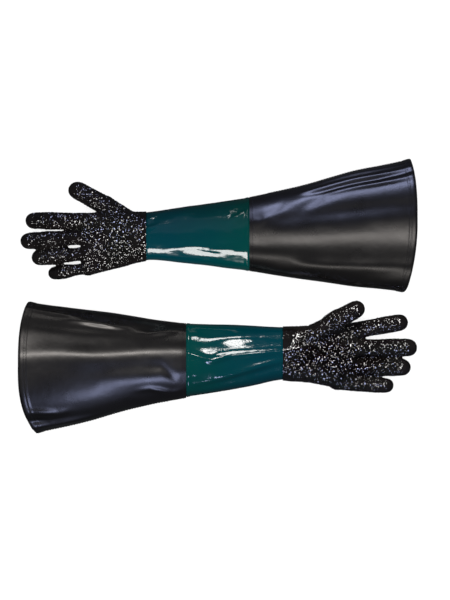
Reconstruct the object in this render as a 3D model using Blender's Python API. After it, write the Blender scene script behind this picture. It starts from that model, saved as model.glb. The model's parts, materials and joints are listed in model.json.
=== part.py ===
"""A pair of long-cuffed protective gloves lying on a table, as Blender objects in metres.

Each glove is a sewn vinyl cuff, a glossy dipped sleeve and a grit-coated hand over a knitted liner.
Glove a lies back up with its fingers towards -X; glove b lies palm up with its fingers towards +X.
Both are left-hand gloves. The origin is on the table under the middle of the pair, with +Z up.

A glove has its own coordinates: u runs from the middle of the cuff's rim to the fingertips,
v runs sideways towards the thumb, and z is the height above the table.
"""

import math
from collections import namedtuple

import bmesh
import bpy
from mathutils import Matrix, Vector

# Overall sizes
CUFF_LENGTH = 0.255  # from the rim to the neck, where the sleeve is sewn in
REACH = 0.355  # from the neck to the longest fingertip
LENGTH = CUFF_LENGTH + REACH
ROW_OFFSET = 0.096  # from the pair's middle to each glove's own line
MOUTH_HALF_WIDTH = 0.102
MOUTH_HALF_DEPTH = 0.050
RIM_BULGE = 0.012  # how much further the rim reaches at its top than at its sides
NECK_HALF_WIDTH = 0.056
NECK_HALF_DEPTH = 0.041
WRIST_HALF_DEPTH = 0.027

# Walls and clearances
GAP = 0.0003
BALL_GAP = 0.0008  # clearance round the rounded ends at the cuff's neck and at the wrist
VINYL = 0.0012
BACKING = 0.0008
HEM_TURN = 0.0010
HEM_WIDTH = 0.011
SLEEVE_WALL = 0.0016
COAT_WALL = 0.0022
LINER_WALL = 0.0010
THREAD = 0.0008
JOIN_MARGIN = 0.004  # from the cuff's neck edge to its row of stitches

# Joints
CUFF_BALL = NECK_HALF_DEPTH + 0.0015  # radius of the sleeve's rounded end at the neck
WRIST_BALL = WRIST_HALF_DEPTH + 0.0030  # and at the wrist
FINGER_BEND = 45.0  # degrees that each finger joint can curl
THUMB_BEND = 30.0
BEND_SPARE = 1.5  # extra degrees in each mitre
KNUCKLE_GAP = 0.0012
MIDDLE_JOINT_SHARE = 0.42  # of the way from a finger's root to its tip
THUMB_JOINT_SHARE = 0.40
THUMB_ROLL = 25.0  # degrees by which the thumb curls inwards as well as towards the palm
THUMB_STUB = 0.030

# Facets
AROUND_ARM = 24
AROUND_FINGER = 12
DOME_RINGS = 3

# One cross-section of the arm: centre (v, z) and half sizes at u
Section = namedtuple("Section", "u v half_width half_depth z")
# A digit: (distance beyond the neck, v, z) of its root and of its rounded tip's middle, the height of its
# middle joint above the straight line between them, and its outer radius at the root and the tip
Digit = namedtuple("Digit", "root tip arch root_radius tip_radius")
# A whole glove: reach is the way its fingers point along X, palm the way its palm faces along Z
Glove = namedtuple("Glove", "name reach row palm coat_edge front arm digits")


def widths(width_share, depth_share):
    """(half width, half depth, z) of a cross-section between the neck and the rim, on the table."""
    half_width = NECK_HALF_WIDTH + width_share * (MOUTH_HALF_WIDTH - NECK_HALF_WIDTH)
    half_depth = NECK_HALF_DEPTH + depth_share * (MOUTH_HALF_DEPTH - NECK_HALF_DEPTH)
    return half_width, half_depth, half_depth


def past_neck(distance, *rest):
    """A cross-section of the sleeve or the hand, at a distance beyond the cuff's neck."""
    return Section(CUFF_LENGTH + distance, *rest)


def cuff_sections(outward):
    """The cuff's cross-sections: it leans outwards from the pair, and rests on the table midway."""
    return [
        Section(0.0, 0.0135 * outward, MOUTH_HALF_WIDTH, MOUTH_HALF_DEPTH, MOUTH_HALF_DEPTH + 0.0015),
        Section(0.404 * CUFF_LENGTH, 0.0090 * outward, *widths(0.67, 0.67)),
        Section(0.698 * CUFF_LENGTH, 0.0030 * outward, *widths(0.32, 0.33)),
        Section(CUFF_LENGTH, 0.0004 * outward, NECK_HALF_WIDTH, NECK_HALF_DEPTH, NECK_HALF_DEPTH + 0.0015),
    ]


GLOVE_A = Glove(
    name="a",
    reach=-1,
    row=ROW_OFFSET,
    palm=-1,
    coat_edge=CUFF_LENGTH + 0.160,
    front=CUFF_LENGTH + 0.261,
    arm=cuff_sections(1)
    + [
        past_neck(0.081, -0.0005, 0.0455, 0.0340, 0.0365),
        past_neck(0.160, -0.0017, 0.0356, WRIST_HALF_DEPTH, 0.0310),
        past_neck(0.205, -0.0076, 0.0416, 0.0240, 0.0315),
        past_neck(0.261, -0.0155, 0.0500, 0.0175, 0.0310),
    ],
    digits={
        "thumb": Digit((0.224, 0.0450, 0.0230), (0.2653, 0.0675, 0.0138), 0.001, 0.0144, 0.0131),
        "index": Digit((0.261, 0.0212, 0.0310), (0.3323, 0.0217, 0.0129), 0.004, 0.0126, 0.0123),
        "middle": Digit((0.261, -0.0044, 0.0310), (0.3401, -0.0095, 0.0130), 0.004, 0.0126, 0.0124),
        "ring": Digit((0.261, -0.0300, 0.0310), (0.3227, -0.0350, 0.0127), 0.004, 0.0123, 0.0121),
        "little": Digit((0.261, -0.0534, 0.0310), (0.2996, -0.0587, 0.0112), 0.003, 0.0106, 0.0103),
    },
)
GLOVE_B = Glove(
    name="b",
    reach=1,
    row=-ROW_OFFSET,
    palm=1,
    coat_edge=CUFF_LENGTH + 0.150,
    front=CUFF_LENGTH + 0.259,
    arm=cuff_sections(-1)
    + [
        past_neck(0.066, 0.0036, 0.0498, 0.0345, 0.0355),
        past_neck(0.150, 0.0096, 0.0395, WRIST_HALF_DEPTH, 0.0280),
        past_neck(0.201, 0.0066, 0.0444, 0.0240, 0.0240),
        past_neck(0.259, 0.0033, 0.0545, 0.0185, 0.0200),
    ],
    digits={
        "thumb": Digit((0.2345, 0.0617, 0.0406), (0.265, 0.0782, 0.0455), -0.001, 0.0140, 0.0130),
        "index": Digit((0.259, 0.0437, 0.0200), (0.3278, 0.0562, 0.0240), -0.002, 0.0130, 0.0126),
        "middle": Digit((0.259, 0.0165, 0.0200), (0.3414, 0.0178, 0.0240), -0.002, 0.0138, 0.0134),
        "ring": Digit((0.259, -0.0115, 0.0200), (0.3319, -0.0123, 0.0240), -0.002, 0.0136, 0.0131),
        "little": Digit((0.259, -0.0373, 0.0200), (0.3075, -0.0403, 0.0230), -0.001, 0.0116, 0.0111),
    },
)


def clear_scene():
    for obj in list(bpy.data.objects):
        bpy.data.objects.remove(obj)


def material(name, colour, roughness, metallic=0.0):
    made = bpy.data.materials.new(name)
    made.use_nodes = True
    shader = made.node_tree.nodes["Principled BSDF"]
    shader.inputs["Base Color"].default_value = (*colour, 1.0)
    shader.inputs["Roughness"].default_value = roughness
    shader.inputs["Metallic"].default_value = metallic
    return made


def make_object(name, mesh_builder, finish, origin):
    """Names the mesh, turns its faces outwards and gives it its own origin, a point in world space."""
    mesh = bpy.data.meshes.new(name)
    bmesh.ops.recalc_face_normals(mesh_builder, faces=mesh_builder.faces)
    mesh_builder.to_mesh(mesh)
    mesh_builder.free()
    mesh.transform(Matrix.Translation(-origin))
    mesh.shade_smooth()
    mesh.set_sharp_from_angle(angle=math.radians(35))
    obj = bpy.data.objects.new(name, mesh)
    obj.location = origin
    obj.data.materials.append(finish)
    bpy.context.scene.collection.objects.link(obj)
    return obj


# Places along a glove


def place(glove, u, v, z):
    """World point of a glove's own (u, v, z)."""
    return Vector((glove.reach * (u - LENGTH / 2), glove.row + v, z))


def beyond_neck(glove, point):
    """World point of (distance beyond the cuff's neck, v, z)."""
    distance, v, z = point
    return place(glove, CUFF_LENGTH + distance, v, z)


def section_at(glove, u):
    """The arm's cross-section at u, straight between the given ones."""
    arm = glove.arm
    for near, far in zip(arm, arm[1:]):
        if u <= far.u or far is arm[-1]:
            share = (u - near.u) / (far.u - near.u)
            return Section(*(a + share * (b - a) for a, b in zip(near, far)))


def ball_end(glove, hinge_u, radius, side):
    """A cut that rounds a tube's end about a hinge line across the glove, at side +1 or -1 of it."""
    centre = section_at(glove, hinge_u).z

    def cut(_, z):
        return hinge_u + side * math.sqrt(max(radius**2 - (z - centre) ** 2, 0.0))

    return cut


def flat_cut(u):
    return lambda *_: u


def rim_cut(inset):
    """The cuff's curved rim, or a line that keeps the same distance from it."""
    return lambda angle, _: inset + RIM_BULGE * math.cos(angle) ** 2


def arm_ring(glove, cut, inset):
    """Points round the arm, inset from its outer surface, where cut(angle, z) gives u."""
    points = []
    for step in range(AROUND_ARM):
        angle = math.tau * step / AROUND_ARM
        u = cut(angle, section_at(glove, glove.coat_edge).z)
        for _ in range(6):
            at = section_at(glove, u)
            z = at.z + (at.half_depth - inset) * math.sin(angle)
            u = cut(angle, z)
        points.append(place(glove, u, at.v + (at.half_width - inset) * math.cos(angle), z))
    return points


# Solids made of rings


def join_rings(builder, first, second):
    """Triangles between two rings. Their diagonals all lean one way, so nested walls keep apart."""
    count = len(first)
    for i in range(count):
        j = (i + 1) % count
        builder.faces.new((first[i], first[j], second[j]))
        builder.faces.new((first[i], second[j], second[i]))


def shell_of_rings(outer, inner):
    """A closed wall between two stacks of rings. A stack may end in one point, as a dome does."""
    builder = bmesh.new()
    stacks = [[[builder.verts.new(p) for p in ring] for ring in stack] for stack in (outer, inner)]
    for stack in stacks:
        for first, second in zip(stack, stack[1:]):
            if len(second) > 1:
                join_rings(builder, first, second)
                continue
            for i, vertex in enumerate(first):
                builder.faces.new((vertex, first[(i + 1) % len(first)], second[0]))
    join_rings(builder, stacks[0][0], stacks[1][0])
    if len(stacks[0][-1]) > 1:
        join_rings(builder, stacks[0][-1], stacks[1][-1])
    return builder


def solid_of_rings(rings):
    """A closed block through rings, with a flat face at each end."""
    builder = bmesh.new()
    stack = [[builder.verts.new(p) for p in ring] for ring in rings]
    for first, second in zip(stack, stack[1:]):
        join_rings(builder, first, second)
    builder.faces.new(stack[0])
    builder.faces.new(stack[-1])
    return builder


def arm_shell(glove, cuts, outer_inset, wall):
    """A wall of the arm through the given cuts, its outside inset from the arm's surface."""
    outer = [arm_ring(glove, cut, outer_inset) for cut in cuts]
    inner = [arm_ring(glove, cut, outer_inset + wall) for cut in cuts]
    return shell_of_rings(outer, inner)


def loop_thread(glove, cut):
    """A closed thread that lies on the arm's outer surface along a cut."""
    half = THREAD / 2
    over = -(GAP + half)
    shifts = ((-half, over), (0.0, over - half), (half, over), (0.0, over + half))
    rings = [arm_ring(glove, lambda a, z, s=shift: cut(a, z) + s, inset) for shift, inset in shifts]
    builder = bmesh.new()
    stack = [[builder.verts.new(p) for p in ring] for ring in rings]
    for first, second in zip(stack, stack[1:] + stack[:1]):
        join_rings(builder, first, second)
    return builder


# Digits


class DigitPlan:
    """Where a digit's pieces lie: its root, middle joint and tip, and the axes of each phalanx."""

    def __init__(self, glove, name):
        digit = glove.digits[name]
        is_thumb = name == "thumb"
        self.is_thumb = is_thumb
        self.bend = math.radians(THUMB_BEND if is_thumb else FINGER_BEND)
        self.root_radius, self.tip_radius = digit.root_radius, digit.tip_radius
        self.root, self.tip = beyond_neck(glove, digit.root), beyond_neck(glove, digit.tip)
        share = THUMB_JOINT_SHARE if is_thumb else MIDDLE_JOINT_SHARE
        self.middle = self.root.lerp(self.tip, share) + Vector((0, 0, digit.arch))
        self.middle_radius = digit.root_radius + share * (digit.tip_radius - digit.root_radius)
        self.palm = Vector((0, 0, glove.palm))
        self.roll = math.radians(THUMB_ROLL) if is_thumb else 0.0
        self.forward = Vector((glove.reach, 0, 0))

    def axes(self, start, end):
        """(along, across, curl) of a phalanx: curl is the way its free end moves as it bends."""
        along = (end - start).normalized()
        across = along.cross(self.palm).normalized()
        curl = across.cross(along).normalized()
        inwards = across if across.y < 0 else -across
        curl = curl * math.cos(self.roll) + inwards * math.sin(self.roll)
        return along, curl.cross(along).normalized(), curl


def phalanx_ring(start, axes, radius, offset):
    """Points round a phalanx. offset(across, curl) is how far along it each of them lies."""
    along, across, curl = axes
    points = []
    for step in range(AROUND_FINGER):
        angle = math.tau * step / AROUND_FINGER
        a, c = radius * math.cos(angle), radius * math.sin(angle)
        points.append(start + along * offset(a, c) + across * a + curl * c)
    return points


def mitre(rest_bend, bend, gap, sign, base=0.0):
    """The slant at a joint: square on the back of the digit, cut away on the side it curls to."""
    back = math.tan(rest_bend / 2)
    front = math.tan((rest_bend + bend) / 2 + math.radians(BEND_SPARE))

    def offset(_, curl):
        return base + sign * (gap / 2 + curl * (front if curl > 0 else back))

    return offset


def knuckle_start(plan, axes):
    """The start of a finger along the flat front of the palm, cut away on the palm side."""
    along, across, curl = axes
    forward = plan.forward
    lean = math.atan2(-curl.dot(forward), along.dot(forward))
    front = math.tan(lean + plan.bend / 2 + math.radians(BEND_SPARE))

    def offset(a, c):
        sideways = -a * across.dot(forward) / along.dot(forward)
        return KNUCKLE_GAP / 2 + sideways + c * (front if c > 0 else math.tan(lean))

    return offset


def rest_bend(plan, first, second):
    """The angle by which a digit already curls at its middle joint."""
    return math.atan2(second[0].dot(first[2]), second[0].dot(first[0]))


def base_phalanx(plan, inset, wall):
    """The tube from the knuckle to the middle joint."""
    first = plan.axes(plan.root, plan.middle)
    second = plan.axes(plan.middle, plan.tip)
    length = (plan.middle - plan.root).length
    if plan.is_thumb:
        start = mitre(0.0, plan.bend, KNUCKLE_GAP, 1)
    else:
        start = knuckle_start(plan, first)
    end = mitre(rest_bend(plan, first, second), plan.bend, KNUCKLE_GAP, -1, length)
    stacks = []
    for depth in (inset, inset + wall):
        stacks.append(
            [
                phalanx_ring(plan.root, first, plan.root_radius - depth, start),
                phalanx_ring(plan.root, first, plan.middle_radius - depth, end),
            ]
        )
    return shell_of_rings(*stacks)


def tip_phalanx(plan, inset, wall):
    """The thimble from the middle joint to the rounded fingertip."""
    first = plan.axes(plan.root, plan.middle)
    second = plan.axes(plan.middle, plan.tip)
    length = (plan.tip - plan.middle).length
    start = mitre(rest_bend(plan, first, second), plan.bend, KNUCKLE_GAP, 1)
    stacks = []
    for depth in (inset, inset + wall):
        radius = plan.tip_radius - depth
        rings = [phalanx_ring(plan.middle, second, plan.middle_radius - depth, start)]
        for step in range(DOME_RINGS):
            angle = math.pi / 2 * step / DOME_RINGS
            level = length + radius * math.sin(angle)
            rings.append(
                phalanx_ring(plan.middle, second, radius * math.cos(angle), lambda *_, s=level: s)
            )
        rings.append([plan.middle + second[0] * (length + radius)])
        stacks.append(rings)
    return shell_of_rings(*stacks)


# The hand's own shell


def cutter(name, builder):
    """A helper solid for a Boolean: wire in the viewport and left out of renders."""
    obj = make_object(name, builder, CUTTER_FINISH, Vector())
    obj.hide_render = True
    obj.display_type = "WIRE"
    return obj


def apply_boolean(obj, other, operation):
    modifier = obj.modifiers.new(other.name, "BOOLEAN")
    modifier.operation = operation
    modifier.object = other
    modifier.solver = "EXACT"


def rod(start, axes, radius, begin, end):
    return solid_of_rings(
        [phalanx_ring(start, axes, radius, lambda *_, s=level: s) for level in (begin, end)]
    )


def front_cap(builder, ring):
    """Closes the palm's front with strips from its top edge to its bottom edge, bent midway."""
    count = len(ring)
    half = count // 2
    middles = []
    for step in range(half + 1):
        top, bottom = ring[step], ring[(count - step) % count]
        if top is bottom:
            middles.append(top)
            continue
        point = (top.co + bottom.co) / 2
        point.x = ring[0].co.x
        middles.append(builder.verts.new(point))
    for step in range(half):
        for edge, nxt in ((ring[step], ring[step + 1]), (ring[-step], ring[-step - 1])):
            corners = [edge, nxt, middles[step + 1], middles[step]]
            builder.faces.new(list(dict.fromkeys(corners)))


def level_cap(builder, ring):
    """Closes a ring with level strips, so that a rounded end stays a plain cylinder."""
    half = AROUND_ARM // 2
    for step in range(-half // 2, half // 2):
        corners = [ring[i % AROUND_ARM] for i in (step, step + 1, half - step - 1, half - step)]
        builder.faces.new(list(dict.fromkeys(corners)))


def palm_block(glove, inset, cuts):
    """The palm as a closed block: rings through cuts, a rounded start and a bent front."""
    rings = [arm_ring(glove, cut, inset) for cut in cuts]
    builder = bmesh.new()
    stack = [[builder.verts.new(p) for p in ring] for ring in rings]
    for first, second in zip(stack, stack[1:]):
        join_rings(builder, first, second)
    level_cap(builder, stack[0])
    front_cap(builder, stack[-1])
    return builder


def front_cut(glove, back):
    """The palm's front edge: upright on the back of the hand, slanting back on the palm side."""
    level = section_at(glove, glove.front).z
    slant = math.tan(math.radians(FINGER_BEND / 2 + BEND_SPARE))

    def cut(_, z):
        return glove.front - KNUCKLE_GAP / 2 - back - max(0.0, glove.palm * (z - level)) * slant

    return cut


def thumb_bore(plan, depth, begin, end):
    axes = plan.axes(plan.root, plan.middle)
    return rod(plan.root, axes, plan.root_radius - depth, begin, end)


def build_palm(glove, plans, finish, origin):
    """The grit-coated palm: a hollow shell with a mouth for each digit and a stub for the thumb."""
    middle = glove.arm[-2].u
    start = ball_end(glove, glove.coat_edge, WRIST_BALL + BALL_GAP, 1)
    palm = make_object(
        f"{glove.name}_palm_coat",
        palm_block(glove, 0.0, [start, flat_cut(middle), front_cut(glove, 0.0)]),
        finish,
        origin,
    )
    thumb = plans["thumb"]
    axes = thumb.axes(thumb.root, thumb.middle)
    slant = mitre(0.0, thumb.bend, KNUCKLE_GAP, -1)
    stub = solid_of_rings(
        [
            phalanx_ring(thumb.root, axes, thumb.root_radius + 0.002, lambda *_: -THUMB_STUB),
            phalanx_ring(thumb.root, axes, thumb.root_radius, slant),
        ]
    )
    apply_boolean(palm, cutter(f"{glove.name}_thumb_stub", stub), "UNION")
    behind = flat_cut(glove.coat_edge - 0.003)
    hollow_cuts = [behind, start, flat_cut(middle), front_cut(glove, COAT_WALL)]
    hollow = palm_block(glove, COAT_WALL, hollow_cuts)
    apply_boolean(palm, cutter(f"{glove.name}_palm_hollow", hollow), "DIFFERENCE")
    for name, plan in plans.items():
        if plan.is_thumb:
            bore = thumb_bore(plan, COAT_WALL, -THUMB_STUB, plan.root_radius)
        else:
            first = plan.axes(plan.root, plan.middle)
            reach = plan.root_radius
            bore = rod(plan.root, first, plan.root_radius - COAT_WALL, -reach, reach)
        apply_boolean(palm, cutter(f"{glove.name}_{name}_bore", bore), "DIFFERENCE")
    return palm


def build_palm_liner(glove, plans, finish, origin):
    """The knitted liner inside the palm, from the wrist to the knuckles, with a hole for the thumb."""
    inset = COAT_WALL + GAP
    start = ball_end(glove, glove.coat_edge, WRIST_BALL + BALL_GAP, 1)
    cuts = [start, flat_cut(glove.arm[-2].u), front_cut(glove, COAT_WALL + GAP)]
    liner = make_object(
        f"{glove.name}_palm_liner", arm_shell(glove, cuts, inset, LINER_WALL), finish, origin
    )
    thumb = plans["thumb"]
    hole = thumb_bore(thumb, COAT_WALL + GAP + LINER_WALL, -THUMB_STUB, thumb.root_radius)
    apply_boolean(liner, cutter(f"{glove.name}_liner_thumb_hole", hole), "DIFFERENCE")


# The cuff and the sleeve


def build_cuff(glove, finishes, origin):
    neck = ball_end(glove, CUFF_LENGTH, CUFF_BALL + BALL_GAP, -1)
    stations = [flat_cut(s.u) for s in glove.arm if 0.0 < s.u < CUFF_LENGTH - CUFF_BALL]
    layers = (
        ("cuff_panel", [rim_cut(0.0), *stations, neck], 0.0, VINYL, "vinyl"),
        ("cuff_backing", [rim_cut(HEM_WIDTH + GAP), *stations, neck], VINYL + GAP, BACKING, "backing"),
        ("cuff_hem", [rim_cut(0.0005), rim_cut(HEM_WIDTH)], VINYL + GAP, HEM_TURN, "vinyl"),
    )
    for name, cuts, inset, wall, slot in layers:
        builder = arm_shell(glove, cuts, inset, wall)
        make_object(f"{glove.name}_{name}", builder, finishes[slot], origin)
    threads = (
        ("hem_thread", rim_cut(HEM_WIDTH - 0.002)),
        ("join_thread", lambda a, z: neck(a, z) - JOIN_MARGIN),
    )
    for name, cut in threads:
        make_object(f"{glove.name}_{name}", loop_thread(glove, cut), finishes["thread"], origin)
    make_object(f"{glove.name}_seam_thread", seam_thread(glove), finishes["thread"], origin)


def seam_thread(glove):
    """The cuff's side seam: a thread along the edge that faces away from the other glove."""
    outward = 1 if glove.row > 0 else -1
    ends = [RIM_BULGE + HEM_WIDTH + 0.004, *(s.u for s in glove.arm[1:3]), CUFF_LENGTH - CUFF_BALL - 0.012]
    half = THREAD / 2
    rings = []
    for u in ends:
        at = section_at(glove, u)
        side = at.v + outward * (at.half_width + GAP + half)
        shifts = ((half, 0), (0, half), (-half, 0), (0, -half))
        rings.append([place(glove, u, side + dv, at.z + dz) for dv, dz in shifts])
    return solid_of_rings(rings)


def build_sleeve(glove, finishes, origin):
    stations = [flat_cut(s.u) for s in glove.arm if CUFF_LENGTH < s.u < glove.coat_edge]
    layers = (
        ("sleeve_shell", 0.0, SLEEVE_WALL, CUFF_BALL, "sleeve"),
        ("sleeve_liner", SLEEVE_WALL + GAP, LINER_WALL, CUFF_BALL - 0.002, "liner"),
    )
    for name, inset, wall, ball, slot in layers:
        cuts = [
            ball_end(glove, CUFF_LENGTH, ball, -1),
            flat_cut(CUFF_LENGTH),
            *stations,
            flat_cut(glove.coat_edge),
            ball_end(glove, glove.coat_edge, WRIST_BALL, 1),
        ]
        builder = arm_shell(glove, cuts, inset, wall)
        make_object(f"{glove.name}_{name}", builder, finishes[slot], origin)


def build_digit(glove, name, plan, finishes):
    label = f"{glove.name}_{name}"
    layers = (("coat", 0.0, COAT_WALL), ("liner", COAT_WALL + GAP, LINER_WALL))
    for slot, inset, wall in layers:
        make_object(f"{label}_base_{slot}", base_phalanx(plan, inset, wall), finishes[slot], plan.root)
        make_object(f"{label}_tip_{slot}", tip_phalanx(plan, inset, wall), finishes[slot], plan.middle)


def joint_place(glove, u):
    at = section_at(glove, u)
    return place(glove, u, at.v, at.z)


def build_glove(glove, finishes):
    cuff_hinge, wrist = joint_place(glove, CUFF_LENGTH), joint_place(glove, glove.coat_edge)
    plans = {name: DigitPlan(glove, name) for name in glove.digits}
    build_cuff(glove, finishes, place(glove, 0.0, 0.0, 0.0))
    build_sleeve(glove, finishes, cuff_hinge)
    build_palm(glove, plans, finishes["coat"], wrist)
    build_palm_liner(glove, plans, finishes["liner"], wrist)
    for name, plan in plans.items():
        build_digit(glove, name, plan, finishes)


clear_scene()
CUTTER_FINISH = material("cutter", (0.8, 0.2, 0.2), 0.5)
FINISHES = {
    "vinyl": material("vinyl", (0.012, 0.012, 0.014), 0.38),
    "backing": material("backing", (0.10, 0.10, 0.11), 0.90),
    "thread": material("thread", (0.02, 0.02, 0.022), 0.60),
    "sleeve": material("sleeve_pvc", (0.0, 0.052, 0.040), 0.10),
    "coat": material("grit_pvc", (0.006, 0.006, 0.007), 0.30),
    "liner": material("liner_knit", (0.62, 0.60, 0.54), 0.95),
}
for each_glove in (GLOVE_A, GLOVE_B):
    build_glove(each_glove, FINISHES)
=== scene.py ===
"""The looks of a pair of long-cuffed protective gloves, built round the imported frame.

Every glove piece is made in the glove's own coordinates: u runs from the middle of the cuff's rim to
the fingertips, v runs sideways towards the thumb and z is the height above the table. All lengths are
in metres.
"""

import json
import math
from contextlib import contextmanager
from itertools import product

import bmesh
import bpy
import numpy as np
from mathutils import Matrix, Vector


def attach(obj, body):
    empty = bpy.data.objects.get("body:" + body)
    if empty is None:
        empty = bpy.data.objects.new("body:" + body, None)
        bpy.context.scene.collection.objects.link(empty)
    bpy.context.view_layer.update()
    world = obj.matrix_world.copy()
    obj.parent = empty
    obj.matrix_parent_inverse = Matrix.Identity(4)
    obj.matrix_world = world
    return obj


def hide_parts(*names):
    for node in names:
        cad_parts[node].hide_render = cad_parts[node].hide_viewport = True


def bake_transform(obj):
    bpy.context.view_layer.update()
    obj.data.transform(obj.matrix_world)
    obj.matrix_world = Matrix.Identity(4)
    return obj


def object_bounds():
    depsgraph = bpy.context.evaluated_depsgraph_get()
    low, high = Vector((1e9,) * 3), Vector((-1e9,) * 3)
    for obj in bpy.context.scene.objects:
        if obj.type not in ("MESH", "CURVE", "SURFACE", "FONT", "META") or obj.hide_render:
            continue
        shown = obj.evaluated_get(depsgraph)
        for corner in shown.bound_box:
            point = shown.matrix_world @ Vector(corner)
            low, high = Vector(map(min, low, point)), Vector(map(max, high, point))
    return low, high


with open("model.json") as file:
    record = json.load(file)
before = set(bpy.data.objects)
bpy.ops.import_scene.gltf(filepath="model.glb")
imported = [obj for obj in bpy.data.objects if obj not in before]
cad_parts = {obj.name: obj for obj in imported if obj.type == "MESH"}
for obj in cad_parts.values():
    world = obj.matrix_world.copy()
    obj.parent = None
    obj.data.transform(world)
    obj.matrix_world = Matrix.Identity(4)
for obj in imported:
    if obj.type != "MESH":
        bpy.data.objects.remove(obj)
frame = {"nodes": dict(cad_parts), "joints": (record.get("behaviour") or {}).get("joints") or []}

CAD_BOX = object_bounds()
JOINTS = {joint["name"]: joint for joint in frame["joints"]}
DIGITS = ("thumb", "index", "middle", "ring", "little")
FINGERS = DIGITS[1:]

# The cuff and the sleeve
VINYL_THICKNESS = 0.0014
HEM_WIDTH = 0.011
TURNED_THICKNESS = 0.0011  # the vinyl inside the mouth, drawn tight by its stitches
HEM_STEP = 0.0009  # how proud the doubled hem stands
STITCH_INSET = 0.0020  # the hem's stitches, from the hem's inner edge
STITCH_PITCH = 0.0042
STITCH_LENGTH = 0.0030
STITCH_RADIUS = 0.00035
SLEEVE_THICKNESS = 0.0016
SEAM_ABOVE_MIDDLE = 0.0022
CUFF_PAST_NECK = 0.0015  # the cuff runs on past the joint at the neck
BEAD_HEIGHT = 0.00077  # how proud the rolled bead at the sleeve's wide end stands
# How much of the arm's length bends, either side of the joint
NECK_BEND = 0.020
WRIST_BEND = 0.018

# How fine the meshes are
ARM_STEP = 0.0025  # between rings along the arm
HEM_RING_STEP = 0.0015
ARM_AROUND = 168
ARM_ANGLES = np.arange(ARM_AROUND) * math.tau / ARM_AROUND
LIMB_AROUND = 20
CAP_RINGS = 5
PALM_AROUND = 56
HAND_VOXEL = 0.0019
SMOOTH_PASSES = 9
TABLE_CLEARANCE = 0.0002  # the vinyl's height over the table, and the coat's a little more
COAT_CLEARANCE = 0.0003

# The grit on the hand
GRIT_CELL = 0.0025
GRIT_HEIGHT = 0.0007
SMOOTH_TIP = 0.55  # of a digit's radius back from its tip, the grit fades out
FLAKE = 0.0013  # the flat broken faces of the grit
FLAKE_TILT = 1.25
HAND_RUMPLE = (0.016, 0.0005)  # size and height
HAND_SALT = {"a": 2, "b": 9}
COAT_PROUD = 0.0004  # how far the coat stands out from the smooth form


# Small numeric helpers


def smoothstep(x, low, high):
    t = np.clip((x - low) / (high - low), 0.0, 1.0)
    return t * t * (3 - 2 * t)


def hashed(cells, salt):
    """Fixed pseudo-random numbers from 0 to 1 for rows of three whole numbers."""
    dot = cells[..., 0] * 127.1 + cells[..., 1] * 311.7 + cells[..., 2] * 74.7 + salt * 53.3
    value = np.sin(dot) * 43758.5453
    return value - np.floor(value)


def value_noise(points, size, salt):
    """Smooth noise from -1 to 1 with lumps of the given size."""
    p = points / size
    base = np.floor(p)
    f = p - base
    f = f * f * f * (f * (f * 6 - 15) + 10)
    total = np.zeros(len(points))
    for corner in product((0, 1), repeat=3):
        x, y, z = np.where(corner, f, 1 - f).T
        total += x * y * z * hashed(base + corner, salt)
    return total * 2 - 1


def grit_height(points, cell, salt):
    """Rounded grains of uneven size, scattered one to a cell."""
    p = points / cell
    base = np.floor(p)
    best = np.zeros(len(points))
    for step in product((-1, 0, 1), repeat=3):
        at = base + step
        jitter = np.stack([hashed(at, salt + k) for k in (1, 2, 3)], axis=1)
        radius = 0.42 + 0.38 * hashed(at, salt + 4)
        apart = np.linalg.norm(at + jitter - p, axis=1) / radius
        height = (0.55 + 0.45 * hashed(at, salt + 5)) * np.clip(1 - apart**2, 0, 1)
        best = np.maximum(best, height * (hashed(at, salt + 6) > 0.12))
    return best


# The frame's own shapes


# How far the soft outline stands outside the CAD's: u, thumb side, other side
OUTLINE_EASE = {
    "a": [
        (0.00, 0.0050, 0.0018),
        (0.03, 0.0022, 0.0010),
        (0.06, 0.0008, 0.0006),
        (0.15, 0.0, 0.0),
        (0.30, 0.0010, 0.0005),
        (0.42, 0.0, 0.0010),
    ],
    "b": [
        (0.00, 0.0024, 0.0076),
        (0.03, -0.0004, 0.0034),
        (0.05, -0.0014, 0.0020),
        (0.10, -0.0020, -0.0004),
        (0.20, -0.0014, 0.0006),
        (0.27, 0.0, 0.0024),
        (0.36, 0.0004, 0.0014),
        (0.42, 0.0, 0.0),
    ],
}


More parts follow.
